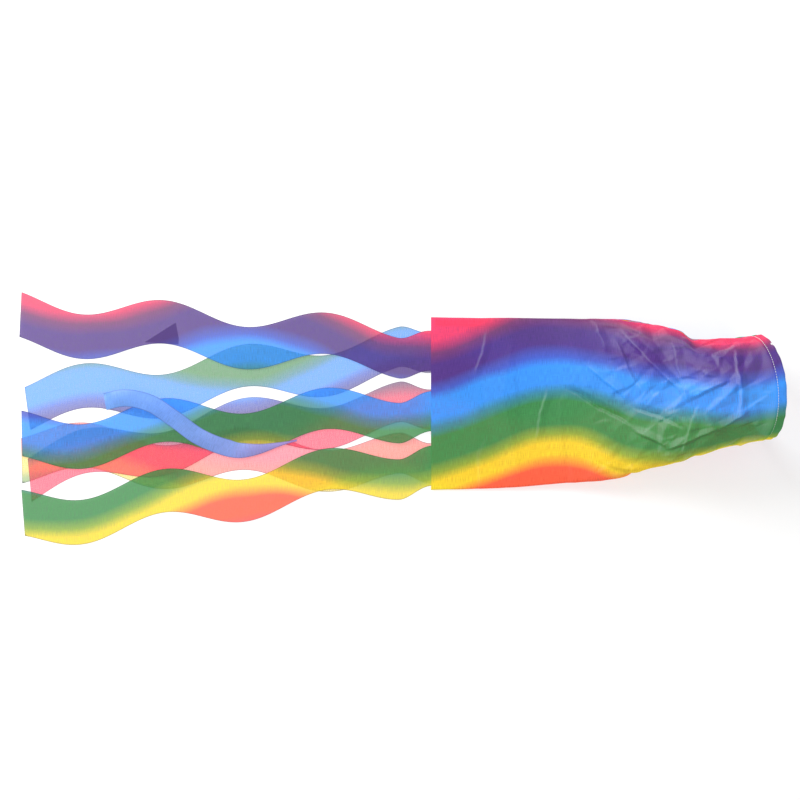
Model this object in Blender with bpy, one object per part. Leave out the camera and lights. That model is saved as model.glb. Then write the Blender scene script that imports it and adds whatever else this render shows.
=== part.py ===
"""Rainbow wave-tail windsock, laid flat: a hooped round mouth, a sleeve that flattens towards its other end,
six wave-cut tails and one narrow loose strip. Metres, +Z up, the mouth towards +X, standing on Z = 0."""

from math import cos, pi, radians, sin, tan

import bmesh
import bpy
import numpy as np
from mathutils import Vector

# Cloth and clearances
CLOTH = 0.0005
GAP = 0.0003
TAIL_GAP = 0.0010  # between the sleeve's end and each tail's root, so that the root can turn

# Mouth: a wire hoop in a hem
HOOP_CENTRE = Vector((0.4865, 0.0405, 0.0684))
HOOP_RADIUS = 0.0665
WIRE_RADIUS = 0.0010
FERRULE_WALL = 0.0005
HOOP_LEAN = radians(11.0)  # the top of the hoop leans towards +X
HOOP_YAW = radians(5.4)
HEM_WIDTH = 0.0115
HEM_OPENING = radians(5.0)  # where the wire goes in
FERRULE_AT = radians(40.0)
FERRULE_ARC = radians(12.0)
THREAD_RADIUS = 0.0002
STITCHES = 60

# Sleeve: x, then the middle's y and z, the half width and the half height
SLEEVE = (
    (0.0560, 0.0195, 0.0024, 0.1165, 0.0024),
    (0.1150, 0.0200, 0.0032, 0.1150, 0.0032),
    (0.1750, 0.0210, 0.0050, 0.1133, 0.0050),
    (0.2280, 0.0225, 0.0095, 0.1110, 0.0095),
    (0.2810, 0.0250, 0.0180, 0.1080, 0.0180),
    (0.3130, 0.0265, 0.0260, 0.1040, 0.0260),
    (0.3460, 0.0285, 0.0370, 0.0968, 0.0370),
    (0.3630, 0.0290, 0.0420, 0.0940, 0.0420),
    (0.3850, 0.0300, 0.0510, 0.0870, 0.0510),
    (0.3950, 0.0290, 0.0570, 0.0800, 0.0570),
    (0.4060, 0.0290, 0.0615, 0.0750, 0.0615),
    (0.4280, 0.0330, 0.0665, 0.0705, 0.0660),
    (0.4520, 0.0370, 0.0695, 0.0685, 0.0675),
    (0.4740, 0.0393, 0.0706, 0.0668, 0.0660),
)
NECK_FROM = 0.3950
SQUARENESS_FLAT, SQUARENESS_ROUND = 3.5, 2.0  # of a section, where the sleeve is flat and at the hoop
FLAT_UNDERSIDE = 1.04  # over 1, so that each section rests on a flat strip
AROUND = 40

# Lengthwise seam, inside the fold at +Y
SEAM_SPAN = (0.0600, 0.4360)
SEAM_WIDTH = 0.0080
SEAM_INSET = 0.0030
SEAM_THREAD_GAP = 0.0002
SEAM_THREAD_RADIUS = 0.00015

# Tails: root y, slope and bend of the line that each tail's wave follows
TAIL_ROOT_X = SLEEVE[0][0] - TAIL_GAP
TAIL_TIP_X = -0.5031
TAIL_WIDTHS = (0.0550, 0.0615)  # at the root and at the tip
WAVE_HEIGHT = 0.0138
WAVE_LENGTH = 0.2190
WAVE_CREST_X = -0.1960
WAVE_GROWS_OVER = 0.0450
TAIL_STATIONS = 42
SETTLES_OVER = 0.1200  # how far from its root a tail takes to come down on what it lies on
FRONT_HEIGHTS = (2 * SLEEVE[0][4] - CLOTH, 0.0018)
TAILS = {
    "tail_front_upper": (-1, 0.0906, 0.070, 0.0, FRONT_HEIGHTS, (0.55, 0.20, 0.45)),
    "tail_front_middle": (-1, 0.0093, -0.072, 0.0, FRONT_HEIGHTS, (0.12, 0.38, 0.75)),
    "tail_front_lower": (-1, -0.0641, -0.1325, 0.0, FRONT_HEIGHTS, (0.75, 0.70, 0.10)),
    "tail_back_upper": (1, 0.0884, -0.125, 0.0, (0.0, 0.0), (0.45, 0.70, 0.95)),
    "tail_back_middle": (1, 0.0115, -0.056, -0.200, (0.0, 0.0009), (0.80, 0.50, 0.75)),
    "tail_back_lower": (1, -0.0612, 0.024, 0.0, (0.0, 0.0), (0.95, 0.45, 0.35)),
}

# Narrow strip that lies on the middle front tail, from its pointed held end to its loose end
RIBBON_ROUTE = (
    (-0.1260, -0.0300),
    (-0.1500, -0.0355),
    (-0.1790, -0.0420),
    (-0.2030, -0.0435),
    (-0.2240, -0.0390),
    (-0.2570, -0.0256),
    (-0.2910, -0.0010),
    (-0.3245, 0.0205),
    (-0.3580, 0.0270),
    (-0.3850, 0.0220),
)
RIBBON_WIDTHS = (0.0020, 0.0200)
RIBBON_TAPER = 0.35  # share of its length over which it widens
RIBBON_Z = 0.0027
RIBBON_ARCH = 0.0075
RIBBON_PER_SPAN = 3


def smooth_step(t):
    t = min(max(t, 0.0), 1.0)
    return t * t * (3.0 - 2.0 * t)


def circle(radius, count):
    return [(radius * cos(2 * pi * i / count), radius * sin(2 * pi * i / count)) for i in range(count)]


def clear_scene():
    for ob in list(bpy.data.objects):
        bpy.data.objects.remove(ob)


def plain_material(name, colour, roughness=0.7, metallic=0.0):
    mat = bpy.data.materials.new(name)
    mat.use_nodes = True
    shader = mat.node_tree.nodes["Principled BSDF"]
    shader.inputs["Base Color"].default_value = (*colour, 1.0)
    shader.inputs["Roughness"].default_value = roughness
    shader.inputs["Metallic"].default_value = metallic
    return mat


def loft(name, rings, pivot, material, closed):
    """One body through rings of equal count. Closed joins the last ring to the first, and otherwise both are capped."""
    bm = bmesh.new()
    rows = [[bm.verts.new(Vector(p) - pivot) for p in ring] for ring in rings]
    count = len(rows[0])
    pairs = list(zip(rows, rows[1:]))
    if closed:
        pairs.append((rows[-1], rows[0]))
    else:
        bm.faces.new(rows[0])
        bm.faces.new(rows[-1])
    for row, following in pairs:
        for i in range(count):
            j = (i + 1) % count
            bm.faces.new((row[i], row[j], following[j], following[i]))
    bmesh.ops.recalc_face_normals(bm, faces=bm.faces)
    mesh = bpy.data.meshes.new(name)
    bm.to_mesh(mesh)
    bm.free()
    mesh.shade_smooth()
    mesh.set_sharp_from_angle(angle=radians(40))
    mesh.materials.append(material)
    ob = bpy.data.objects.new(name, mesh)
    ob.location = pivot
    bpy.context.collection.objects.link(ob)
    return ob


# ---- Mouth ----

HOOP_SIDE = Vector((-sin(HOOP_YAW), cos(HOOP_YAW), 0.0))
HOOP_UP = Vector((sin(HOOP_LEAN) * cos(HOOP_YAW), sin(HOOP_LEAN) * sin(HOOP_YAW), cos(HOOP_LEAN)))
HOOP_AXIS = HOOP_SIDE.cross(HOOP_UP)
HOOP_PIVOT = HOOP_CENTRE - HOOP_UP * HOOP_RADIUS


def on_hoop(angle, out, along):
    """A point round the hoop: angle from its +Y side, out from the wire's middle, and along the hoop's axis."""
    radial = HOOP_SIDE * cos(angle) + HOOP_UP * sin(angle)
    return HOOP_CENTRE + radial * (HOOP_RADIUS + out) + HOOP_AXIS * along


def hoop_rings(profile, start, stop, count):
    angles = [start + (stop - start) * i / (count - 1) for i in range(count)]
    return [[on_hoop(angle, out, along) for out, along in profile] for angle in angles]


def build_hoop():
    half_cut = GAP / HOOP_RADIUS
    rings = hoop_rings(circle(WIRE_RADIUS, 6), FERRULE_AT + half_cut, FERRULE_AT + 2 * pi - half_cut, 61)
    steel = plain_material("spring_wire", (0.55, 0.56, 0.58), 0.35, 1.0)
    loft("hoop", rings, HOOP_PIVOT, steel, closed=False)


def build_ferrule():
    inner = WIRE_RADIUS + GAP
    span = (FERRULE_AT - FERRULE_ARC / 2, FERRULE_AT + FERRULE_ARC / 2)
    outside = hoop_rings(circle(inner + FERRULE_WALL, 10), *span, 5)
    inside = hoop_rings(circle(inner, 10), *span, 5)
    tube = plain_material("ferrule_tube", (0.8, 0.8, 0.8), 0.4)
    loft("hoop_ferrule", outside + inside[::-1], HOOP_PIVOT, tube, closed=True)


def hem_profile(radius, tail):
    """A teardrop in a plane through the hoop's axis: round over the wire, narrowing to the stitched edge."""
    front = [(radius * cos(a), radius * sin(a)) for a in (pi * i / 6 for i in range(7))]
    return front + [(-tail, -HEM_WIDTH), (tail, -HEM_WIDTH)]


def build_hem():
    inner = WIRE_RADIUS + GAP + FERRULE_WALL + GAP
    span = (HEM_OPENING / 2, 2 * pi - HEM_OPENING / 2)
    outside = hoop_rings(hem_profile(inner + CLOTH, GAP / 2 + CLOTH), *span, 49)
    inside = hoop_rings(hem_profile(inner, GAP / 2), *span, 49)
    cloth = plain_material("hem_cloth", (0.10, 0.22, 0.55))
    loft("mouth_hem", outside + inside[::-1], HOOP_PIVOT, cloth, closed=True)


def build_hem_stitching():
    """A thread round the outside of the hem, which rises a little at each stitch."""
    along = -0.8 * HEM_WIDTH
    outer = WIRE_RADIUS + 2 * GAP + FERRULE_WALL + CLOTH
    cloth_here = outer + (GAP / 2 + CLOTH - outer) * 0.8
    base = cloth_here + GAP + THREAD_RADIUS
    rings = []
    for i in range(2 * STITCHES):
        rise = base + (THREAD_RADIUS if i % 2 else 0.0)
        angle = 2 * pi * i / (2 * STITCHES)
        rings.append([on_hoop(angle, rise + a, along + b) for a, b in circle(THREAD_RADIUS, 4)])
    loft("hem_stitching", rings, HOOP_PIVOT, plain_material("white_thread", (0.9, 0.9, 0.9)), closed=True)


# ---- Sleeve ----


def sleeve_at(x):
    return [float(np.interp(x, [s[0] for s in SLEEVE], [s[k] for s in SLEEVE])) for k in range(1, 5)]


def sleeve_point(x, angle, inset):
    """A point of the sleeve's wall, inset from its outside. Its sections lean and turn into the hoop's plane."""
    y, z, half_width, half_height = sleeve_at(x)
    roundness = half_height / SLEEVE[-1][4]
    power = 2.0 / (SQUARENESS_FLAT + (SQUARENESS_ROUND - SQUARENESS_FLAT) * min(roundness, 1.0))
    across = abs(cos(angle)) ** power * (1 if cos(angle) >= 0 else -1) * (half_width - inset)
    rise = abs(sin(angle)) ** power
    if sin(angle) < 0:
        rise = -min(rise * FLAT_UNDERSIDE, 1.0)
    up = rise * (half_height - inset)
    turned = smooth_step((x - NECK_FROM) / (SLEEVE[-1][0] - NECK_FROM))
    return (x + turned * (up * tan(HOOP_LEAN) - across * tan(HOOP_YAW)), y + across, z + up)


def sleeve_wall(name, stations, material):
    angles = [2 * pi * (i + 0.5) / AROUND for i in range(AROUND)]
    outside = [[sleeve_point(x, a, 0.0) for a in angles] for x in stations]
    inside = [[sleeve_point(x, a, CLOTH) for a in angles] for x in stations]
    loft(name, outside + inside[::-1], Vector((0, 0, 0)), material, closed=True)


def build_sleeve():
    body = [s[0] for s in SLEEVE if s[0] <= NECK_FROM]
    neck = [NECK_FROM + GAP] + [s[0] for s in SLEEVE if s[0] > NECK_FROM]
    sleeve_wall("tube_body", body, plain_material("tube_cloth", (0.15, 0.35, 0.75)))
    sleeve_wall("tube_neck", neck, plain_material("neck_cloth", (0.18, 0.20, 0.60)))


def seam_stations():
    inner = [s[0] for s in SLEEVE if SEAM_SPAN[0] < s[0] < SEAM_SPAN[1]]
    return [SEAM_SPAN[0], *inner, SEAM_SPAN[1]]


def seam_middle(x):
    """The middle of the seam allowance, which points inwards from the fold at +Y."""
    edge = sleeve_point(x, 0.0, CLOTH)
    return Vector(edge) - Vector((0, SEAM_INSET + SEAM_WIDTH / 2, 0))


def build_seam():
    half_width, half_height = SEAM_WIDTH / 2, CLOTH / 2
    turns = ((-1, -1), (1, -1), (1, 1), (-1, 1))
    corners = [(a * half_width, b * half_height) for a, b in turns]
    strip, thread = [], []
    for x in seam_stations():
        middle = seam_middle(x)
        strip.append([middle + Vector((0, a, b)) for a, b in corners])
        over = half_height + SEAM_THREAD_GAP + SEAM_THREAD_RADIUS
        thread.append([middle + Vector((0, a, over + b)) for a, b in circle(SEAM_THREAD_RADIUS, 6)])
    origin = Vector((0, 0, 0))
    loft("tube_seam", strip, origin, plain_material("seam_cloth", (0.35, 0.10, 0.45)), closed=False)
    loft("seam_stitching", thread, origin, plain_material("seam_thread", (0.85, 0.85, 0.9)), closed=False)


# ---- Tails ----


def tail_middle(x, side, root_y, slope, bend):
    """The y of a tail's middle line: a lay line with a wave that grows out of the root."""
    out = TAIL_ROOT_X - x
    wave = WAVE_HEIGHT * cos(2 * pi * (x - WAVE_CREST_X) / WAVE_LENGTH) * smooth_step(out / WAVE_GROWS_OVER)
    return root_y + slope * out + bend * out * out + side * wave


def build_tail(name, side, root_y, slope, bend, heights, colour):
    rings = []
    for i in range(TAIL_STATIONS):
        share = i / (TAIL_STATIONS - 1)
        x = TAIL_ROOT_X + (TAIL_TIP_X - TAIL_ROOT_X) * share
        y = tail_middle(x, side, root_y, slope, bend)
        half = (TAIL_WIDTHS[0] + (TAIL_WIDTHS[1] - TAIL_WIDTHS[0]) * share) / 2
        z = heights[0] + (heights[1] - heights[0]) * smooth_step((TAIL_ROOT_X - x) / SETTLES_OVER)
        rings.append([(x, y - half, z), (x, y + half, z), (x, y + half, z + CLOTH), (x, y - half, z + CLOTH)])
    pivot = Vector((TAIL_ROOT_X, root_y, heights[0] + CLOTH / 2))
    loft(name, rings, pivot, plain_material(name + "_cloth", colour), closed=False)


def curve_through(points, per_span):
    """Catmull-Rom points through a route, with both ends."""
    padded = [points[0] * 2 - points[1], *points, points[-1] * 2 - points[-2]]
    out = []
    for a, b, c, d in zip(padded, padded[1:], padded[2:], padded[3:]):
        for i in range(per_span):
            t = i / per_span
            square, cube = 2 * a - 5 * b + 4 * c - d, 3 * b - a - 3 * c + d
            out.append((2 * b + (c - a) * t + square * t**2 + cube * t**3) / 2)
    return [*out, points[-1]]


def build_ribbon():
    """A flat strip that widens from its held end. Its loose end arches off the tail and comes down again."""
    route = curve_through([Vector(p) for p in RIBBON_ROUTE], RIBBON_PER_SPAN)
    rings = []
    for i, middle in enumerate(route):
        share = i / (len(route) - 1)
        ahead = route[min(i + 1, len(route) - 1)] - route[max(i - 1, 0)]
        across = Vector((-ahead.y, ahead.x)).normalized()
        grown = smooth_step(share / RIBBON_TAPER)
        half = (RIBBON_WIDTHS[0] + (RIBBON_WIDTHS[1] - RIBBON_WIDTHS[0]) * grown) / 2
        risen = smooth_step((share - 0.45) / 0.35) * (1 - 0.6 * smooth_step((share - 0.85) / 0.15))
        z = RIBBON_Z + RIBBON_ARCH * risen
        low, high = middle - across * half, middle + across * half
        rings.append([(*low, z), (*high, z), (*high, z + CLOTH), (*low, z + CLOTH)])
    pivot = Vector((*RIBBON_ROUTE[0], RIBBON_Z + CLOTH / 2))
    loft("ribbon_tail", rings, pivot, plain_material("ribbon_cloth", (0.40, 0.50, 0.85)), closed=False)


clear_scene()
build_hoop()
build_ferrule()
build_hem()
build_hem_stitching()
build_sleeve()
build_seam()
for tail_name, lay in TAILS.items():
    build_tail(tail_name, *lay)
build_ribbon()
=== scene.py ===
"""Looks of the rainbow wave-tail windsock: one printed, see-through cloth in every layer, on a pale floor."""

from math import cos, pi, radians, sin, tan

import bmesh
import bpy
import numpy as np
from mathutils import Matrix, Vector
from mathutils.bvhtree import BVHTree
from mathutils.geometry import delaunay_2d_cdt


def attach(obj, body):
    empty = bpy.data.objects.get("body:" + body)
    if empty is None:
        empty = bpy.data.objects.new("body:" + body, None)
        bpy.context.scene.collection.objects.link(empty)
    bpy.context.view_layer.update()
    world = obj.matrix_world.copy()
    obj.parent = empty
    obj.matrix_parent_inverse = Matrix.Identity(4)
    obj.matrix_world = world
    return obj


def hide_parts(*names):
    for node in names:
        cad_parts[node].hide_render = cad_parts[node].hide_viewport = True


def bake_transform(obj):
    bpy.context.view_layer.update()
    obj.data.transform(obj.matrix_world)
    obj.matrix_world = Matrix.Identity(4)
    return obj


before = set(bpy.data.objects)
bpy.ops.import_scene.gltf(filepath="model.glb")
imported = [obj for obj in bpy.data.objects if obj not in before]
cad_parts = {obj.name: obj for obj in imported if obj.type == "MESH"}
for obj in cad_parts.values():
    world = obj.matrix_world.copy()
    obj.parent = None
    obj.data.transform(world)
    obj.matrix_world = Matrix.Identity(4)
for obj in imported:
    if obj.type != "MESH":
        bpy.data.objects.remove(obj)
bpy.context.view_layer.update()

# ---- Cloth and its cut ----
# As in the CAD, but for the neck's kink, the seam's inset and the strip's widths and height

HOOP_CENTRE = Vector((0.4865, 0.0405, 0.0684))
HOOP_RADIUS = 0.0665
HOOP_LEAN, HOOP_YAW = radians(11.0), radians(5.4)
HEM_WIDTH = 0.0115
HEM_HALF_HEIGHT = 0.0024
HEM_OPENING = radians(5.0)
HEM_WAVE = 0.00022

# x, then the middle's y and z, the half width and the half height. The rows at 0.3850 and 0.3950
# are narrower than the CAD's, for a sharper kink in the neck
SLEEVE = np.array((
    (0.0548, 0.0195, 0.0024, 0.1165, 0.0021),
    (0.1150, 0.0200, 0.0032, 0.1150, 0.0030),
    (0.1750, 0.0210, 0.0050, 0.1133, 0.0048),
    (0.2280, 0.0225, 0.0095, 0.1110, 0.0093),
    (0.2810, 0.0250, 0.0180, 0.1080, 0.0178),
    (0.3130, 0.0265, 0.0260, 0.1040, 0.0258),
    (0.3460, 0.0285, 0.0370, 0.0968, 0.0368),
    (0.3630, 0.0290, 0.0420, 0.0940, 0.0418),
    (0.3850, 0.0295, 0.0510, 0.0848, 0.0508),
    (0.3950, 0.0283, 0.0570, 0.0772, 0.0568),
    (0.4060, 0.0290, 0.0615, 0.0750, 0.0613),
    (0.4280, 0.0330, 0.0665, 0.0705, 0.0658),
    (0.4520, 0.0370, 0.0695, 0.0688, 0.0675),
    (0.4762, 0.0393, 0.0706, 0.0684, 0.0674),
))
NECK_FROM = 0.3950
SLEEVE_END, SLEEVE_MOUTH = SLEEVE[0, 0], SLEEVE[-1, 0]
ROUND_CLOTH, FLAT_CLOTH = 0.434, 0.464  # the sleeve's girth at the mouth and at the tails
SLEEVE_LONG, SLEEVE_AROUND = 280, 300
FLOOR_GAP = 0.0003  # the sleeve and the hem lie no lower than this
# Crumples all round: the height, seed, spacing, stretch and turn of each set of facets
CRUMPLES = ((0.0034, 5, 0.020, 2.2, 0.7), (0.0013, 8, 0.009, 1.8, -0.5))
FAINT_CRUMPLES = (0.0009, 3, 0.030, 2.5, 1.3)
RUMPLED_FROM, RUMPLED_OVER = 0.24, 0.10
SEWN_CALM, TAIL_CALM_FROM, TAIL_CALM = 0.016, 0.06, 0.06  # the cloth is smooth near its ends
# Folds in the upper layer, given to the nearest 5 mm: the ends' x and y, and the height
FOLDS = (
    (0.305, 0.115, 0.385, 0.025, 0.0040),
    (0.300, 0.105, 0.330, 0.035, -0.0025),
    (0.365, 0.100, 0.385, 0.025, 0.0035),
    (0.385, 0.025, 0.430, 0.050, 0.0030),
    (0.235, 0.040, 0.320, -0.010, -0.0035),
    (0.320, 0.015, 0.380, -0.010, -0.0030),
    (0.320, -0.015, 0.365, -0.040, 0.0035),
    (0.360, -0.040, 0.420, -0.010, 0.0035),
    (0.395, 0.015, 0.380, -0.040, 0.0030),
    (0.440, 0.095, 0.445, 0.000, 0.0025),
    (0.415, -0.015, 0.455, 0.010, 0.0025),
    (0.265, 0.070, 0.310, 0.025, 0.0020),
    (0.275, 0.125, 0.285, 0.090, 0.0020),
    (0.210, 0.040, 0.195, -0.030, 0.0010),
    (0.130, 0.115, 0.115, 0.060, 0.0010),
)
FOLD_STEEP, FOLD_GENTLE = 0.0020, 0.0090  # how far a fold reaches on either side of its line
FOLD_PAST, FOLD_FADE = 0.006, 0.25  # how far it runs past its ends, and the share over which it fades
# Painted light and shade on the sleeve's folds: slopes that face the key lamp and ridges are painted paler,
# slopes that face away and valleys are painted darker
CREASE_BEND, CREASE_TILT = 0.0009, 0.55  # the bend and the tilt at which a fold's tone is strongest
CREASE_SHARES = (0.14, 0.85)

SEAM_SPAN, SEAM_WIDTH, SEAM_INSET = (0.0600, 0.4360), 0.0080, 0.0034
SEAM_STITCH_STEP, SEAM_STITCH_LONG, SEAM_STITCH_RISE, SEAM_THREAD = 0.0034, 0.0024, 0.0003, 0.00020
RIBBON_ROUTE = (
    (-0.126, -0.0300), (-0.150, -0.0355), (-0.179, -0.0420), (-0.203, -0.0435), (-0.224, -0.0390),
    (-0.257, -0.0256), (-0.291, -0.0010), (-0.3245, 0.0205), (-0.358, 0.0270), (-0.385, 0.0220),
)
RIBBON_WIDTHS, RIBBON_TAPER = (0.0024, 0.0230), 0.35
RIBBON_Z, RIBBON_ARCH, RIBBON_CURL = 0.0028, 0.0075, 0.0050
RIBBON_LOWEST = 0.0014  # its curled end stays clear of the upper back tail
RIBBON_CUP, RIBBON_RIPPLE = 0.0021, 0.0011
RIBBON_LONG, RIBBON_ACROSS = 140, 17

TAIL_ROOT_X, TAIL_TIP_X = 0.0552, -0.5031
TAIL_WIDTHS = (0.0540, 0.0615)
WAVE_HEIGHT, WAVE_LENGTH, WAVE_CREST_X, WAVE_GROWS_OVER = 0.0138, 0.2190, -0.1960, 0.0450
SETTLES_OVER = 0.1200
FRONT_Z, BACK_Z = (0.0043, 0.0021), (0.0004, 0.0004)
# side of the wave, root y, slope, bend, heights, distance round the cloth at its root
TAILS = {
    "tail_front_upper": (-1, 0.0906, 0.070, 0.0, FRONT_Z, 0.0560),
    "tail_front_middle": (-1, 0.0093, -0.072, 0.0, FRONT_Z, 0.1409),
    "tail_front_lower": (-1, -0.0641, -0.1325, 0.0, FRONT_Z, 0.1925),
    "tail_back_upper": (1, 0.0884, -0.125, 0.0, BACK_Z, 0.4335),
    "tail_back_middle": (1, 0.0115, -0.056, -0.200, (0.0004, 0.0012), 0.3375),
    "tail_back_lower": (1, -0.0612, 0.024, 0.0, BACK_Z, 0.2539),
}
# Where each tail's cut end lies, at its +Y and at its -Y edge
TIPS = {
    "tail_front_upper": (-0.4975, -0.5003),
    "tail_front_middle": (-0.4976, -0.4965),
    "tail_front_lower": (-0.4976, -0.4930),
    "tail_back_upper": (-0.4938, -0.4860),
    "tail_back_middle": (-0.4892, -0.4840),
    "tail_back_lower": (-0.4985, -0.4970),
}
# How far the print has drifted across a tail by its tip, as the cut runs off the cloth's grain
PRINT_DRIFT = {"tail_back_lower": -0.0170, "tail_front_middle": -0.0110}
TAIL_LONG, TAIL_ACROSS = 260, 18
TAIL_BEND = 0.030  # the length at the root over which the ripples grow in; there the tail bends when it moves
TAIL_RIPPLE = 0.00012
SHORT_ROOT = 0.0007
# A corner turned up on the upper front tail, as points of its outline
TURNED_CORNER = ((-0.3320, 0.1020), (-0.2853, 0.0990), (-0.2853, 0.1084), (-0.2894, 0.1290))

# ---- Print ----

PRINT_PERIOD = 0.3213
PRINT_WAVE, PRINT_WAVE_LENGTH, PRINT_TROUGH_X = 0.0270, 0.4050, 0.0198
PRINT_SLACK_X, PRINT_SLACK = -0.1830, 0.82  # beyond here, towards the tips, the print's wave is longer
PINCH_X, PINCH_REACH, PINCH_SHIFT = 0.3950, 0.0420, 0.0150  # the print is drawn up where the neck kinks
GATHER = 0.28  # how much more the neck's lower side is drawn up
GATHER_X, GATHER_RATE = 0.3840, 25.0
CLOUD_SCALE, CLOUD_SHIFT = 9.0, 0.020  # a slow wander of the bands
# The dye's colour, by share of the period from the middle of the first red
RED, PURPLE, BLUE = (1.00, 0.045, 0.150), (0.088, 0.022, 0.265), (0.030, 0.350, 1.00)
GREEN, YELLOW, ORANGE = (0.035, 0.290, 0.062), (0.93, 0.730, 0.012), (1.00, 0.130, 0.045)
BANDS = (
    (0.000, RED), (0.105, RED), (0.165, (0.22, 0.035, 0.18)), (0.215, PURPLE), (0.280, PURPLE),
    (0.330, (0.055, 0.12, 0.62)), (0.365, BLUE), (0.440, BLUE), (0.475, (0.03, 0.29, 0.40)),
    (0.515, GREEN), (0.615, GREEN), (0.660, (0.30, 0.46, 0.03)), (0.700, YELLOW), (0.745, YELLOW),
    (0.795, ORANGE), (0.860, ORANGE), (0.940, RED),
)
# Lavender where the strip is held, then periwinkle, then light blue
RIBBON_BANDS = (
    (0.00, (0.42, 0.24, 0.60)), (0.35, (0.22, 0.33, 0.78)),
    (0.70, (0.16, 0.36, 0.84)), (1.00, (0.17, 0.38, 0.80)),
)
RIBBON_DYE_LENGTH = 0.32

# ---- How the cloth takes light ----

WHITE = (1, 1, 1, 1)
# Painted light and shade on folds: a pale sheen painted on slopes towards the key lamp and on ridges, and
# painted shade on slopes away from it and in valleys
FOLD_PAINTED_SHEEN, FOLD_PAINTED_SHEEN_SHARE = (0.80, 0.86, 0.92, 1), 0.13  # on the side of a fold towards the light
FOLD_PAINTED_SHADE, FOLD_PAINTED_SHADE_SHARE = (0.3, 0.3, 0.4, 1), 0.5
SLUB_DARK, SLUB_FROM, SLUB_SHARE = (0.45, 0.45, 0.5, 1), 0.62, 1.1
DOUBLED, DOUBLED_SHARE, DOUBLED_SOFT = (0.55, 0.40, 0.62, 1), 0.9, 0.0006
EDGE_DARK, EDGE_DARK_BEHIND, EDGE_REACH = (0.45, 0.42, 0.50, 1), (0.35, 0.33, 0.42, 1), 0.0013
THROUGH_SHARE = 0.18  # of the light that falls on the threads, what comes out behind
COVER_SPREAD = 0.75  # how far slubs open and close the weave
LAMP_TINT, LAMP_STOPPED = 0.12, 0.22
ROOT_COVER = 0.035  # the length at a tail's root over which it covers more


# ---- Small helpers ----


def smooth_step(t):
    t = np.clip(t, 0.0, 1.0)
    return t * t * (3.0 - 2.0 * t)


def spline(at, xs, ys):
    """A smooth curve through rows, which doesn't overshoot."""
    slopes = np.gradient(ys, xs, axis=0)
    step = np.clip(np.searchsorted(xs, at) - 1, 0, len(xs) - 2)
    width = (xs[step + 1] - xs[step])[:, None]
    t = ((at - xs[step])[:, None]) / width
    a, b = ys[step], ys[step + 1]
    return (
        a * (2 * t**3 - 3 * t**2 + 1)
        + b * (3 * t**2 - 2 * t**3)
        + width * (slopes[step] * (t**3 - 2 * t**2 + t) + slopes[step + 1] * (t**3 - t**2))
    )


def sheet_mesh(name, points, facts, wrap=False):
    """A mesh of quads over a grid of points, with one float attribute for each named fact."""
    rows, columns = points.shape[:2]
    index = np.arange(rows * columns).reshape(rows, columns)
    right = np.roll(index, -1, axis=1) if wrap else index[:, 1:]
    left = index if wrap else index[:, :-1]
    faces = np.stack([left[:-1], right[:-1], right[1:], left[1:]], axis=-1).reshape(-1, 4)
    mesh = bpy.data.meshes.new(name)
    mesh.from_pydata(points.reshape(-1, 3).tolist(), [], faces.tolist())
    for fact, values in facts.items():
        attribute = mesh.attributes.new(fact, "FLOAT", "POINT")
        spread = np.broadcast_to(values, (rows, columns)).astype(np.float32)
        attribute.data.foreach_set("value", spread.ravel())
    mesh.shade_smooth()
    ob = bpy.data.objects.new(name, mesh)
    bpy.context.collection.objects.link(ob)
    return ob


# ---- Materials ----


class Nodes:
    """A short way to write a node tree."""

    def __init__(self, name):
        self.mat = bpy.data.materials.new(name)
        self.mat.use_nodes = True
        self.tree = self.mat.node_tree
        self.tree.nodes.clear()
        self.out = self.add("ShaderNodeOutputMaterial")

    def add(self, kind, **settings):
        node = self.tree.nodes.new(kind)
        for key, value in settings.items():
            setattr(node, key, value)
        return node

    def put(self, value, socket):
        if isinstance(value, bpy.types.NodeSocket):
            self.tree.links.new(value, socket)
        else:
            socket.default_value = value

    def maths(self, operation, a, b=0.0, c=0.0):
        node = self.add("ShaderNodeMath", operation=operation)
        for value, socket in zip((a, b, c), node.inputs):
            self.put(value, socket)
        return node.outputs[0]

    def fact(self, name):
        return self.add("ShaderNodeAttribute", attribute_name=name).outputs["Fac"]

    def vector(self, x, y, z=0.0):
        node = self.add("ShaderNodeCombineXYZ")
        for value, socket in zip((x, y, z), node.inputs):
            self.put(value, socket)
        return node.outputs[0]

    def noise(self, vector, scale, detail=2.0):
        node = self.add("ShaderNodeTexNoise")
        self.put(vector, node.inputs["Vector"])
        node.inputs["Scale"].default_value = scale
        node.inputs["Detail"].default_value = detail
        return node.outputs["Fac"]

    def mixed(self, how, share, a, b):
        node = self.add("ShaderNodeMix", data_type="RGBA", blend_type=how)
        self.put(share, node.inputs["Factor"])
        self.put(a, node.inputs["A"])
        self.put(b, node.inputs["B"])
        return node.outputs["Result"]

    def kept_within(self, value):
        """The value, held between nought and one."""
        return self.maths("MINIMUM", self.maths("MAXIMUM", value, 0.0), 1.0)

    def ramp(self, share, bands):
        """A colour that runs through the bands, each of which is a place and a colour."""
        node = self.add("ShaderNodeValToRGB")
        self.put(share, node.inputs[0])
        stops = node.color_ramp.elements
        for stop, (place, colour) in enumerate((bands[0], bands[-1])):
            stops[stop].position, stops[stop].color = place, (*colour, 1)
        for place, colour in bands[1:-1]:
            stops.new(place).color = (*colour, 1)
        return node.outputs[0]

    def shader(self, kind, colour, **inputs):
        node = self.add(kind)
        self.put(colour, node.inputs["Color"])
        for key, value in inputs.items():
            self.put(value, node.inputs[key])
        return node.outputs[0]

    def mix_shader(self, share, a, b):
        node = self.add("ShaderNodeMixShader")
        self.put(share, node.inputs[0])
        self.put(a, node.inputs[1])
        self.put(b, node.inputs[2])
        return node.outputs[0]


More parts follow.
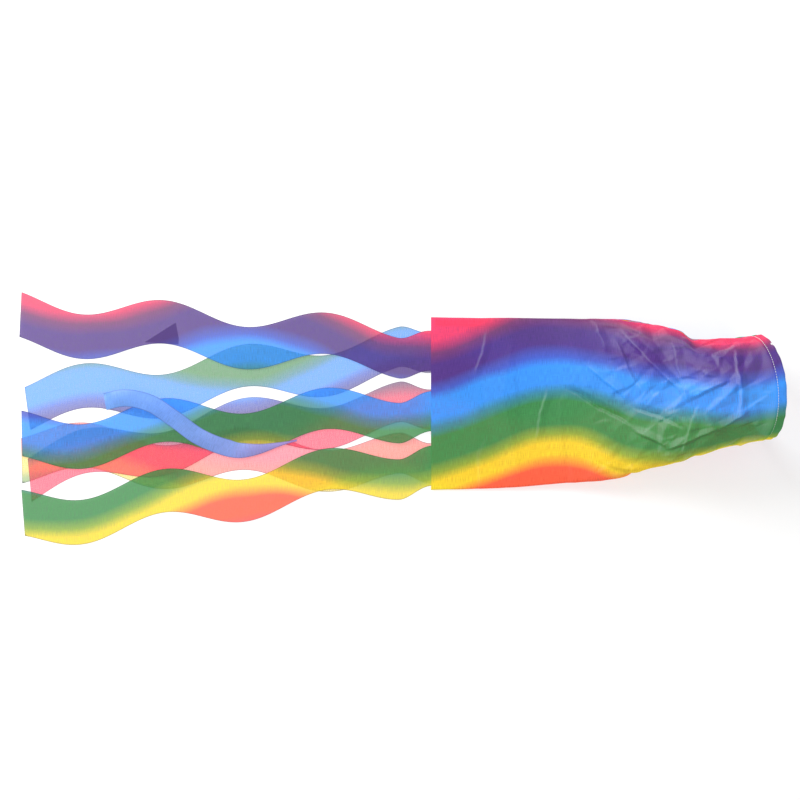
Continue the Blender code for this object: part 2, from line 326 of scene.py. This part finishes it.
def printed_colour(n):
    """The rainbow print at a point of the cloth, from how far it is along and round the cloth."""
    along, around = n.fact("cloth_x"), n.fact("cloth_s")
    beyond = n.maths("MINIMUM", n.maths("SUBTRACT", along, PRINT_SLACK_X), 0.0)
    wave_x = n.maths("MULTIPLY_ADD", beyond, PRINT_SLACK - 1.0, along)
    turn = n.maths("MULTIPLY", n.maths("SUBTRACT", wave_x, PRINT_TROUGH_X), 2 * pi / PRINT_WAVE_LENGTH)
    shift = n.maths("MULTIPLY", n.maths("SUBTRACT", 1.0, n.maths("COSINE", turn)), PRINT_WAVE)
    from_pinch = n.maths("DIVIDE", n.maths("SUBTRACT", along, PINCH_X), PINCH_REACH)
    drawn = n.maths("EXPONENT", n.maths("MULTIPLY", n.maths("MULTIPLY", from_pinch, from_pinch), -1.0))
    shift = n.maths("ADD", shift, n.maths("MULTIPLY", drawn, PINCH_SHIFT))
    gathered = n.kept_within(n.maths("MULTIPLY_ADD", along, GATHER_RATE, -GATHER_RATE * GATHER_X))
    low = n.maths("MULTIPLY", n.maths("MULTIPLY", around, around), GATHER)
    shift = n.maths("ADD", shift, n.maths("MULTIPLY", gathered, low))
    cloud = n.noise(n.vector(along, around), CLOUD_SCALE, 1.0)
    shift = n.maths("ADD", shift, n.maths("MULTIPLY", n.maths("SUBTRACT", cloud, 0.5), CLOUD_SHIFT))
    share = n.maths("FRACT", n.maths("DIVIDE", n.maths("ADD", around, shift), PRINT_PERIOD))
    return n.ramp(share, BANDS), along, around


def weave(n, along, around):
    """Fine slubs along the threads that run round the cloth, and weaker ones along it."""
    slubs = n.noise(n.vector(n.maths("MULTIPLY", along, 2600.0), n.maths("MULTIPLY", around, 90.0)), 1.0, 1.0)
    cross = n.noise(n.vector(n.maths("MULTIPLY", along, 70.0), n.maths("MULTIPLY", around, 2400.0)), 1.0, 1.0)
    return n.maths("ADD", n.maths("MULTIPLY", slubs, 0.7), n.maths("MULTIPLY", cross, 0.3))


def inside(n, outline):
    """One inside a convex outline on the cloth, whose points run anticlockwise, and nought outside it."""
    x, y = n.fact("cloth_x"), n.fact("cloth_y")
    least = None
    for a, b in zip(outline, outline[1:] + outline[:1]):
        run = Vector((b[0] - a[0], b[1] - a[1])).normalized()
        from_origin = a[0] * run.y - a[1] * run.x
        over = n.maths("MULTIPLY_ADD", x, -run.y, n.maths("MULTIPLY_ADD", y, run.x, from_origin))
        least = over if least is None else n.maths("MINIMUM", least, over)
    return n.kept_within(n.maths("MULTIPLY_ADD", least, 1 / DOUBLED_SOFT, 0.5))


def cloth_material(
    name, solid=0.60, tint=0.62, edge_dark=0.0, shine=0.045, colour=printed_colour, turned=None, at_root=0.0
):
    """Thin printed polyester: its threads show the dye, and what lies behind shows tinted between them."""
    n = Nodes(name)
    dye, along, around = colour(n)
    threads = weave(n, along, around)
    # Painted light and shade on the folds: the dye is painted paler where a slope faces the key lamp or a
    # ridge runs, and darker where it faces away or in a valley
    painted_fold_light = n.fact("painted_fold_tone")
    lighter = n.maths("MULTIPLY", n.maths("MAXIMUM", painted_fold_light, 0.0), FOLD_PAINTED_SHEEN_SHARE)
    dye = n.mixed("MIX", lighter, dye, FOLD_PAINTED_SHEEN)
    darker = n.maths("MAXIMUM", n.maths("MULTIPLY", painted_fold_light, -1.0), 0.0)
    dye = n.mixed("MULTIPLY", n.maths("MULTIPLY", darker, FOLD_PAINTED_SHADE_SHARE), dye, FOLD_PAINTED_SHADE)
    between = n.maths("MULTIPLY", n.maths("SUBTRACT", SLUB_FROM, threads), SLUB_SHARE)
    dye = n.mixed("MULTIPLY", between, dye, SLUB_DARK)
    if turned:
        doubled = inside(n, turned)
        dye = n.mixed("MULTIPLY", n.maths("MULTIPLY", doubled, DOUBLED_SHARE), dye, DOUBLED)
    pale = n.mixed("MIX", tint, WHITE, dye)
    if edge_dark:
        near = n.maths("SUBTRACT", 1.0, n.maths("DIVIDE", n.fact("edge"), EDGE_REACH))
        near = n.maths("MULTIPLY", n.maths("MAXIMUM", near, 0.0), edge_dark)
        dye = n.mixed("MULTIPLY", near, dye, EDGE_DARK)
        pale = n.mixed("MULTIPLY", near, pale, EDGE_DARK_BEHIND)
    bump = n.add("ShaderNodeBump")
    bump.inputs["Distance"].default_value = 0.0002
    bump.inputs["Strength"].default_value = 0.35
    n.put(threads, bump.inputs["Height"])
    normal = bump.outputs[0]
    lit = n.mix_shader(
        THROUGH_SHARE,
        n.shader("ShaderNodeBsdfDiffuse", dye, Roughness=0.4, Normal=normal),
        n.shader("ShaderNodeBsdfTranslucent", dye, Normal=normal),
    )
    gloss = n.shader("ShaderNodeBsdfGlossy", WHITE, Roughness=0.55, Normal=normal)
    lit = n.mix_shader(shine, lit, gloss)
    cover = n.maths("MULTIPLY_ADD", n.maths("SUBTRACT", threads, 0.5), COVER_SPREAD, solid)
    if at_root:
        past = n.maths("SUBTRACT", along, TAIL_ROOT_X - ROOT_COVER)
        rise = n.kept_within(n.maths("DIVIDE", past, ROOT_COVER))
        cover = n.maths("MULTIPLY_ADD", n.maths("MULTIPLY", rise, rise), at_root, cover)
    if turned:
        cover = n.maths("MAXIMUM", cover, doubled)
    seen = n.mix_shader(cover, n.shader("ShaderNodeBsdfTransparent", pale), lit)
    # Lamps reach what lies beneath through the cloth, a little dimmed
    dimmed = n.shader("ShaderNodeBsdfTransparent", n.mixed("MIX", LAMP_TINT, WHITE, dye))
    let_by = n.mix_shader(LAMP_STOPPED, dimmed, lit)
    camera = n.add("ShaderNodeLightPath").outputs["Is Camera Ray"]
    n.put(n.mix_shader(camera, let_by, seen), n.out.inputs["Surface"])
    return n.mat


def ribbon_colour(n):
    """The strip's own dye, which changes along it and wanders a little."""
    along, around = n.fact("cloth_x"), n.fact("cloth_s")
    cloud = n.noise(n.vector(along, around), 40.0, 1.0)
    share = n.maths("MULTIPLY_ADD", cloud, 0.12, n.maths("DIVIDE", along, RIBBON_DYE_LENGTH))
    return n.ramp(share, RIBBON_BANDS), along, around


def thread_material(name, colour):
    n = Nodes(name)
    place = n.add("ShaderNodeTexCoord").outputs["Object"]
    strands = n.noise(place, 1800.0, 2.0)
    shade = n.mixed("MIX", strands, tuple(c * 0.75 for c in colour[:3]) + (1,), colour)
    p = n.add("ShaderNodeBsdfPrincipled")
    n.put(shade, p.inputs["Base Color"])
    n.put(n.maths("MULTIPLY_ADD", strands, 0.2, 0.55), p.inputs["Roughness"])
    n.put(p.outputs[0], n.out.inputs["Surface"])
    return n.mat


def wire_material():
    n = Nodes("drawn_wire")
    place = n.add("ShaderNodeTexCoord").outputs["Object"]
    marks = n.noise(place, 400.0, 4.0)
    p = n.add("ShaderNodeBsdfPrincipled")
    n.put(n.mixed("MIX", marks, (0.40, 0.41, 0.43, 1), (0.66, 0.67, 0.69, 1)), p.inputs["Base Color"])
    p.inputs["Metallic"].default_value = 1.0
    n.put(n.maths("MULTIPLY_ADD", marks, 0.25, 0.25), p.inputs["Roughness"])
    n.put(p.outputs[0], n.out.inputs["Surface"])
    return n.mat


def ferrule_material():
    n = Nodes("ferrule_plastic")
    marks = n.noise(n.add("ShaderNodeTexCoord").outputs["Object"], 600.0, 2.0)
    p = n.add("ShaderNodeBsdfPrincipled")
    n.put(n.mixed("MIX", marks, (0.70, 0.70, 0.70, 1), (0.84, 0.84, 0.83, 1)), p.inputs["Base Color"])
    n.put(n.maths("MULTIPLY_ADD", marks, 0.2, 0.3), p.inputs["Roughness"])
    n.put(p.outputs[0], n.out.inputs["Surface"])
    return n.mat


# ---- Sleeve ----


def section(y, z, half_width, half_height, count):
    """One section of the sleeve, as evenly spaced points round the cloth from the fold at +Y over the top."""
    roundness = min(half_height / SLEEVE[-1, 4], 1.0)
    power = 2.0 / (3.5 - 1.5 * roundness)
    angle = np.linspace(0, 2 * pi, 1441)
    across = np.sign(np.cos(angle)) * np.abs(np.cos(angle)) ** power * half_width
    rise = np.abs(np.sin(angle)) ** power
    rise = np.where(np.sin(angle) < 0, -np.minimum(rise * 1.04, 1.0), rise) * half_height
    length = np.concatenate([[0], np.cumsum(np.hypot(np.diff(across), np.diff(rise)))])
    even = np.linspace(0, length[-1], count, endpoint=False)
    return y, np.interp(even, length, across), z, np.interp(even, length, rise)


def sleeve_points():
    xs = np.linspace(SLEEVE_END, SLEEVE_MOUTH, SLEEVE_LONG)
    rows = spline(xs, SLEEVE[:, 0], SLEEVE[:, 1:])
    points = np.empty((SLEEVE_LONG, SLEEVE_AROUND, 3))
    for i, (x, row) in enumerate(zip(xs, rows)):
        y, across, z, up = section(*row, SLEEVE_AROUND)
        turned = smooth_step((x - NECK_FROM) / (SLEEVE_MOUTH - NECK_FROM))
        points[i, :, 0] = x + turned * (up * tan(HOOP_LEAN) - across * tan(HOOP_YAW))
        points[i, :, 1] = y + across
        points[i, :, 2] = z + up
    girth = np.interp(xs, (SLEEVE_END, SLEEVE_MOUTH), (FLAT_CLOTH, ROUND_CLOTH))
    around = np.linspace(0, 1, SLEEVE_AROUND, endpoint=False)[None, :] * girth[:, None]
    return points, xs, around


def facets(along, around, seed, spacing, stretch, turn):
    """A height made of flat facets that meet in sharp folds, longer along one direction of the cloth."""
    rng = np.random.default_rng(seed)
    span_x, girth = (-0.05, 0.53), FLAT_CLOTH
    count = int((span_x[1] - span_x[0]) * girth / (spacing * spacing * stretch))
    xs, ss = rng.uniform(*span_x, count), rng.uniform(0, girth, count)
    heights = rng.uniform(-1, 1, count)
    xs, ss, heights = np.tile(xs, 3), np.concatenate([ss - girth, ss, ss + girth]), np.tile(heights, 3)

    def squeezed(x, y):
        along_turn, across_turn = x * cos(turn) + y * sin(turn), -x * sin(turn) + y * cos(turn)
        return along_turn / stretch, across_turn

    px, py = squeezed(xs, ss)
    verts, _, faces, source, _, _ = delaunay_2d_cdt([Vector(p) for p in zip(px, py)], [], [], 0, 1e-7)
    corners = [(v.x, v.y, heights[source[i][0]]) for i, v in enumerate(verts)]
    tree = BVHTree.FromPolygons(corners, faces)
    gx, gy = np.broadcast_arrays(*squeezed(*np.broadcast_arrays(along, around)))
    down = Vector((0, 0, -1))
    out = [tree.ray_cast(Vector((x, y, 5.0)), down)[0].z for x, y in zip(gx.ravel(), gy.ravel())]
    return np.array(out).reshape(gx.shape)


def upper_folds(points):
    """The large folds, each a ridge or a valley that is steep on one side, in the layer that faces up."""
    height = np.zeros(points.shape[:2])
    px, py = points[..., 0], points[..., 1]
    px = px + 0.0011 * np.sin(py * 110 + 1) + 0.0003 * np.sin(py * 390 + px * 120)
    py = py + 0.0009 * np.sin(px * 120) + 0.0003 * np.sin(px * 410 + py * 90)
    for x0, y0, x1, y1, depth in FOLDS:
        run = np.array((x1 - x0, y1 - y0))
        long = float(np.hypot(*run))
        run = run / long
        dx, dy = px - x0, py - y0
        u, v = dx * run[0] + dy * run[1], -dx * run[1] + dy * run[0]
        off = np.where(v > 0, v / FOLD_GENTLE, -v / FOLD_STEEP)
        over = FOLD_FADE * long + FOLD_PAST
        fade = smooth_step((u + FOLD_PAST) / over) * smooth_step((long + FOLD_PAST - u) / over)
        height += depth * np.maximum(1 - off, 0) * fade
    return height


def build_sleeve(cloth):
    points, xs, around = sleeve_points()
    along = xs[:, None]
    rumpled = smooth_step((along - RUMPLED_FROM) / RUMPLED_OVER)
    folds = sum(height * rumpled * facets(along, around, *kind) for height, *kind in CRUMPLES)
    folds += FAINT_CRUMPLES[0] * facets(along, around, *FAINT_CRUMPLES[1:])
    upper = smooth_step((np.sin(2 * pi * np.linspace(0, 1, SLEEVE_AROUND, endpoint=False)) - 0.02) / 0.20)
    folds += upper[None, :] * upper_folds(points)
    calm = smooth_step((SLEEVE_MOUTH - along) / SEWN_CALM)
    folds *= calm * smooth_step((along - TAIL_CALM_FROM) / TAIL_CALM)
    # Painted light and shade for the folds: ridges and slopes that face the key lamp, up and to the left, get
    # a positive tone and are painted paler; valleys and slopes facing away get a negative one and are painted
    # darker
    bend = 2 * folds - (np.roll(folds, 2, axis=1) + np.roll(folds, -2, axis=1)) / 2
    bend[2:-2] -= (folds[4:] + folds[:-4]) / 2
    bend[:2], bend[-2:] = 0.0, 0.0
    painted_fold_tone = np.clip(bend / CREASE_BEND, -1, 1)
    tilt = np.gradient(folds, axis=0) / np.gradient(along, axis=0)
    tilt = tilt + np.gradient(folds, axis=1) / np.gradient(around, axis=1)
    tilted = np.clip(tilt / CREASE_TILT, -1, 1)
    painted_fold_tone = np.clip(CREASE_SHARES[0] * painted_fold_tone + CREASE_SHARES[1] * tilted, -1, 1)
    d_along = np.gradient(points, axis=0)
    d_around = (np.roll(points, -1, axis=1) - np.roll(points, 1, axis=1)) / 2
    normals = np.cross(d_around, d_along)
    normals /= np.maximum(np.linalg.norm(normals, axis=2, keepdims=True), 1e-12)
    points = points + normals * folds[..., None]
    points[..., 2] = np.maximum(points[..., 2], FLOOR_GAP)
    edge = np.minimum(along - SLEEVE_END, 0.01)
    facts = {"cloth_x": along, "cloth_s": around, "edge": edge, "painted_fold_tone": painted_fold_tone}
    ob = sheet_mesh("sleeve_cloth", points, facts, wrap=True)
    ob.data.materials.append(cloth)
    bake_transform(ob)
    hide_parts("tube_body", "tube_neck")


# ---- Mouth ----

HOOP_SIDE = np.array((-sin(HOOP_YAW), cos(HOOP_YAW), 0.0))
HOOP_UP = np.array((sin(HOOP_LEAN) * cos(HOOP_YAW), sin(HOOP_LEAN) * sin(HOOP_YAW), cos(HOOP_LEAN)))
HOOP_AXIS = np.cross(HOOP_SIDE, HOOP_UP)


def on_hoop(angle, out, along):
    angle, out, along = np.broadcast_arrays(angle, out, along)
    radial = HOOP_SIDE * np.cos(angle)[..., None] + HOOP_UP * np.sin(angle)[..., None]
    return np.array(HOOP_CENTRE) + radial * (HOOP_RADIUS + out)[..., None] + HOOP_AXIS * along[..., None]


def build_hem(cloth):
    """The cloth doubled over the hoop: out to it, round the wire, and back inside to the stitches."""
    turn = np.linspace(-pi / 2, pi / 2, 9)
    over_wire = np.stack([-HEM_HALF_HEIGHT * np.sin(turn), HEM_HALF_HEIGHT * np.cos(turn)], axis=1)
    steps = np.linspace(1, 0, 8, endpoint=False)[:, None]
    outer = np.hstack([HEM_HALF_HEIGHT + (0.0004 - HEM_HALF_HEIGHT) * steps**1.5, -HEM_WIDTH * steps])
    inner = (outer * (-1, 1))[::-1]
    profile = np.vstack([outer, over_wire, inner])
    lengths = np.concatenate([[0], np.cumsum(np.hypot(*np.diff(profile, axis=0).T))])
    angles = np.linspace(HEM_OPENING / 2, 2 * pi - HEM_OPENING / 2, 361)
    rng = np.random.default_rng(3)
    waves = sum(
        rng.normal(0, HEM_WAVE) * np.sin(k * angles + rng.uniform(0, 6)) for k in (5, 9, 14, 22, 31, 40)
    )
    points = on_hoop(angles[:, None], profile[None, :, 0] + waves[:, None], profile[None, :, 1])
    points[..., 2] = np.maximum(points[..., 2], FLOOR_GAP)
    facts = {
        "cloth_x": SLEEVE_MOUTH + lengths[None, :],
        "cloth_s": angles[:, None] / (2 * pi) * ROUND_CLOTH,
        "edge": np.full((1, len(profile)), 0.01),
    }
    ob = sheet_mesh("hem_channel", points, facts)
    ob.data.materials.append(cloth)
    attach(ob, "mouth")
    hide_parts("mouth_hem")


def stitch_mesh(name, starts, stops, ups, radius, material):
    """Short thread stitches, each a rounded bar that dips into the cloth at both ends."""
    bm = bmesh.new()
    for a, b, up in zip(starts, stops, ups):
        a, b, up = Vector(a), Vector(b), Vector(up)
        run = b - a
        side = run.cross(up).normalized()
        rings = []
        for t in (0.0, 0.12, 0.5, 0.88, 1.0):
            lift = up * (radius * (2.2 * sin(pi * t) - 0.3))
            width = radius * (0.45 if t in (0.0, 1.0) else 1.0)
            middle = a + run * t + lift
            turns = [2 * pi * i / 6 for i in range(6)]
            rings.append([bm.verts.new(middle + (side * cos(q) + up * sin(q)) * width) for q in turns])
        for low, high in zip(rings, rings[1:]):
            for i in range(6):
                bm.faces.new((low[i], low[(i + 1) % 6], high[(i + 1) % 6], high[i]))
        bm.faces.new(rings[0][::-1])
        bm.faces.new(rings[-1])
    bmesh.ops.recalc_face_normals(bm, faces=bm.faces)
    mesh = bpy.data.meshes.new(name)
    bm.to_mesh(mesh)
    bm.free()
    mesh.shade_smooth()
    mesh.materials.append(material)
    ob = bpy.data.objects.new(name, mesh)
    bpy.context.collection.objects.link(ob)
    return ob


def build_hem_stitches(thread):
    count, share = 124, 0.68
    angles = np.arange(count) * 2 * pi / count
    along, out = -0.83 * HEM_WIDTH, HEM_HALF_HEIGHT * 0.42 + 0.0003
    starts, stops = on_hoop(angles, out, along), on_hoop(angles + 2 * pi / count * share, out, along)
    ups = on_hoop(angles, 1.0, 0.0) - on_hoop(angles, 0.0, 0.0)
    ob = stitch_mesh("hem_stitches", starts, stops, ups, 0.00030, thread)
    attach(ob, "mouth")
    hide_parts("hem_stitching")


# ---- Tails ----


def tail_middle(x, side, root_y, slope, bend):
    out = TAIL_ROOT_X - x
    turn = 2 * pi * (x - WAVE_CREST_X) / WAVE_LENGTH
    wave = WAVE_HEIGHT * np.cos(turn) * smooth_step(out / WAVE_GROWS_OVER)
    return root_y + slope * out + bend * out * out + side * wave, side * wave


def build_tail(name, cloth, side, root_y, slope, bend, heights, root_s):
    at = np.linspace(0, 1, TAIL_LONG)[:, None]
    lean = np.linspace(0, 1, TAIL_ACROSS)[None, :]
    tip = TIPS[name][1] + (TIPS[name][0] - TIPS[name][1]) * lean
    # The lower back tail's root swings with the middle one, so it stops short of the sleeve's edge
    root_x = TAIL_ROOT_X - (SHORT_ROOT if name == "tail_back_lower" else 0.0)
    x = root_x + (tip - root_x) * at
    middle, wave = tail_middle(x, side, root_y, slope, bend)
    share = (TAIL_ROOT_X - x) / (TAIL_ROOT_X - TAIL_TIP_X)
    half = (TAIL_WIDTHS[0] + (TAIL_WIDTHS[1] - TAIL_WIDTHS[0]) * share) / 2
    across = np.linspace(-1, 1, TAIL_ACROSS)[None, :] * half
    z = heights[0] + (heights[1] - heights[0]) * smooth_step((TAIL_ROOT_X - x) / SETTLES_OVER)
    rng = np.random.default_rng(len(name) + int(root_s * 1000))
    lift = sum(
        rng.uniform(0.3, 1.0) * np.sin(x * k + across * rng.uniform(-60, 60) + rng.uniform(0, 6))
        for k in (28, 55, 93, 140)
    )
    z = z + TAIL_RIPPLE * lift * smooth_step((TAIL_ROOT_X - x) / TAIL_BEND)
    points = np.stack(np.broadcast_arrays(x, middle + across, z), axis=-1)
    # Front tails read the print downwards from the fold, and back tails upwards
    down = -1 if side < 0 else 1
    facts = {
        "cloth_x": x,
        "cloth_s": root_s + down * (wave + across) + PRINT_DRIFT.get(name, 0.0) * at,
        "cloth_y": points[..., 1],
        "edge": np.minimum(half - np.abs(across), (x - tip) + 0.0002),
    }
    ob = sheet_mesh(name + "_cloth", points, facts)
    ob.data.materials.append(cloth)
    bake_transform(ob)
    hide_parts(name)


def build_seam(cloth, thread):
    """The two edges of the sleeve's cloth, sewn together, pointing inwards from the fold."""
    xs = np.linspace(*SEAM_SPAN, 90)
    rows = spline(xs, SLEEVE[:, 0], SLEEVE[:, 1:])
    turned = smooth_step((xs - NECK_FROM) / (SLEEVE_MOUTH - NECK_FROM))
    deep = np.array((8, 6, 4, 2, 0.5, 0, 0.5, 2, 4, 6, 8)) / 8
    apart = np.array((1, 1, 1, 1, 0.8, 0, -0.8, -1, -1, -1, -1)) * 0.00025
    across = rows[:, 2:3] - SEAM_INSET - SEAM_WIDTH * deep[None, :]
    wave = 0.0003 * np.sin(xs * 310.0) + 0.0002 * np.sin(xs * 730.0 + 1.0)
    points = np.empty((len(xs), len(deep), 3))
    points[..., 0] = (xs - turned * rows[:, 2] * tan(HOOP_YAW))[:, None]
    points[..., 1] = rows[:, :1] + across
    points[..., 2] = np.maximum((rows[:, 1] + wave)[:, None] + apart, 0.0009)
    facts = {"cloth_x": xs[:, None], "cloth_s": SEAM_WIDTH * deep[None, :], "edge": 0.01}
    ob = sheet_mesh("seam_allowance", points, facts)
    ob.data.materials.append(cloth)
    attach(ob, "sleeve")
    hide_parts("tube_seam")
    line = points[:, 2]
    length = np.concatenate([[0], np.cumsum(np.linalg.norm(np.diff(line, axis=0), axis=1))])
    starts = np.arange(0.001, length[-1] - 0.003, SEAM_STITCH_STEP)
    starts, stops = (
        np.stack([np.interp(at, length, line[:, k]) for k in range(3)], axis=1) + (0, 0, SEAM_STITCH_RISE)
        for at in (starts, starts + SEAM_STITCH_LONG)
    )
    ups = np.tile((0.0, 0.0, 1.0), (len(starts), 1))
    ob = stitch_mesh("seam_stitches", starts, stops, ups, SEAM_THREAD, thread)
    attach(ob, "sleeve")
    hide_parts("seam_stitching")


def build_ribbon(cloth):
    """The loose strip on the middle front tail: it widens as it goes, and its free end arches and curls."""
    route = np.array(RIBBON_ROUTE)
    lengths = np.concatenate([[0], np.cumsum(np.hypot(*np.diff(route, axis=0).T))])
    at = np.linspace(0, lengths[-1], RIBBON_LONG)
    middle = spline(at, lengths, route)
    share = at / at[-1]
    ahead = np.gradient(middle, axis=0)
    ahead /= np.linalg.norm(ahead, axis=1, keepdims=True)
    side = np.stack([-ahead[:, 1], ahead[:, 0]], axis=1)
    half = (RIBBON_WIDTHS[0] + (RIBBON_WIDTHS[1] - RIBBON_WIDTHS[0]) * smooth_step(share / RIBBON_TAPER)) / 2
    arch, falls = smooth_step((share - 0.45) / 0.35), smooth_step((share - 0.85) / 0.15)
    z = RIBBON_Z + RIBBON_ARCH * arch * (1 - 0.6 * falls)
    z = z - RIBBON_CURL * smooth_step((share - 0.955) / 0.045)
    t = np.linspace(-1, 1, RIBBON_ACROSS)[None, :]
    across = half[:, None] * t
    grows = smooth_step(share / 0.3)[:, None]
    cup = RIBBON_CUP * (1 - t * t) * grows
    ripple = RIBBON_RIPPLE * np.sin(at * 95.0)[:, None] * t * grows
    points = np.empty((len(at), RIBBON_ACROSS, 3))
    points[..., :2] = middle[:, None, :] + side[:, None, :] * across[..., None]
    points[..., 2] = np.maximum(z[:, None] + cup + ripple, RIBBON_LOWEST)
    facts = {"cloth_x": at[:, None], "cloth_s": across, "edge": half[:, None] - np.abs(across)}
    ob = sheet_mesh("ribbon_strip", points, facts)
    ob.data.materials.append(cloth)
    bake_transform(ob)
    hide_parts("ribbon_tail")


# ---- Stage ----

FLOOR_HALF, FLOOR_DROP = 6.0, 0.0003
# Name, place, size and power
LAMPS = (("key", (-1.5, 1.5, 1.5), 1.3, 72.0), ("fill", (1.0, -1.8, 2.2), 2.2, 14.0))


def build_floor():
    mesh = bpy.data.meshes.new("floor")
    far = FLOOR_HALF
    mesh.from_pydata([(-far, -far, 0), (far, -far, 0), (far, far, 0), (-far, far, 0)], [], [(0, 1, 2, 3)])
    ob = bpy.data.objects.new("floor", mesh)
    ob.location.z = -FLOOR_DROP
    bpy.context.collection.objects.link(ob)
    n = Nodes("pale_floor")
    p = n.add("ShaderNodeBsdfPrincipled")
    p.inputs["Base Color"].default_value = (0.93, 0.93, 0.93, 1)
    p.inputs["Roughness"].default_value = 0.9
    p.inputs["Specular IOR Level"].default_value = 0.1
    n.put(p.outputs[0], n.out.inputs["Surface"])
    mesh.materials.append(n.mat)
    return ob


def build_light():
    world = bpy.data.worlds.new("studio")
    world.use_nodes = True
    world.node_tree.nodes["Background"].inputs[0].default_value = WHITE
    world.node_tree.nodes["Background"].inputs[1].default_value = 0.64
    bpy.context.scene.world = world
    for name, place, size, power in LAMPS:
        light = bpy.data.lights.new(name, "AREA")
        light.size = size
        light.energy = power
        ob = bpy.data.objects.new(name, light)
        ob.location = place
        ob.rotation_euler = (-Vector(place)).to_track_quat("-Z", "Y").to_euler()
        bpy.context.collection.objects.link(ob)


def build_camera():
    camera = bpy.data.cameras.new("camera")
    camera.lens = 70.0
    camera.sensor_width = 36.0
    ob = bpy.data.objects.new("camera", camera)
    ob.location = (0.013, 0.0243, 2.10)
    bpy.context.collection.objects.link(ob)
    bpy.context.scene.camera = ob
    bpy.context.scene.view_settings.view_transform = "Standard"


floor = build_floor()
build_light()
build_camera()
front = {"solid": 0.63, "tint": 0.72, "edge_dark": 1.0, "at_root": 0.26}
layer = cloth_material("printed_cloth", **front)
turned_layer = cloth_material("printed_cloth_turned_up", turned=TURNED_CORNER, **front)
under_layer = cloth_material("printed_cloth_single", solid=0.42, tint=0.50, edge_dark=1.0)
lowest_layer = cloth_material("printed_cloth_lowest", solid=0.30, tint=0.36, edge_dark=1.0)
sleeve_layer = cloth_material("printed_sleeve", solid=0.90, tint=0.72, shine=0.035)
hem_cloth = cloth_material("hem_cloth_print", solid=0.90, tint=0.75)
ribbon_cloth = cloth_material("ribbon_weave", solid=0.96, tint=0.8, edge_dark=1.0, colour=ribbon_colour)
seam_cloth = cloth_material("seam_weave", solid=0.80, tint=0.8)
white_thread = thread_material("white_thread_twist", (0.92, 0.92, 0.93, 1))
build_sleeve(sleeve_layer)
build_seam(seam_cloth, white_thread)
build_hem(hem_cloth)
build_hem_stitches(white_thread)
own_layers = {"tail_front_upper": turned_layer, "tail_back_lower": lowest_layer}
for tail_name, lay in TAILS.items():
    tail_cloth = own_layers.get(tail_name, under_layer if "back" in tail_name else layer)
    build_tail(tail_name, tail_cloth, *lay)
build_ribbon(ribbon_cloth)
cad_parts["hoop"].material_slots[0].material = wire_material()
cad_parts["hoop_ferrule"].material_slots[0].material = ferrule_material()
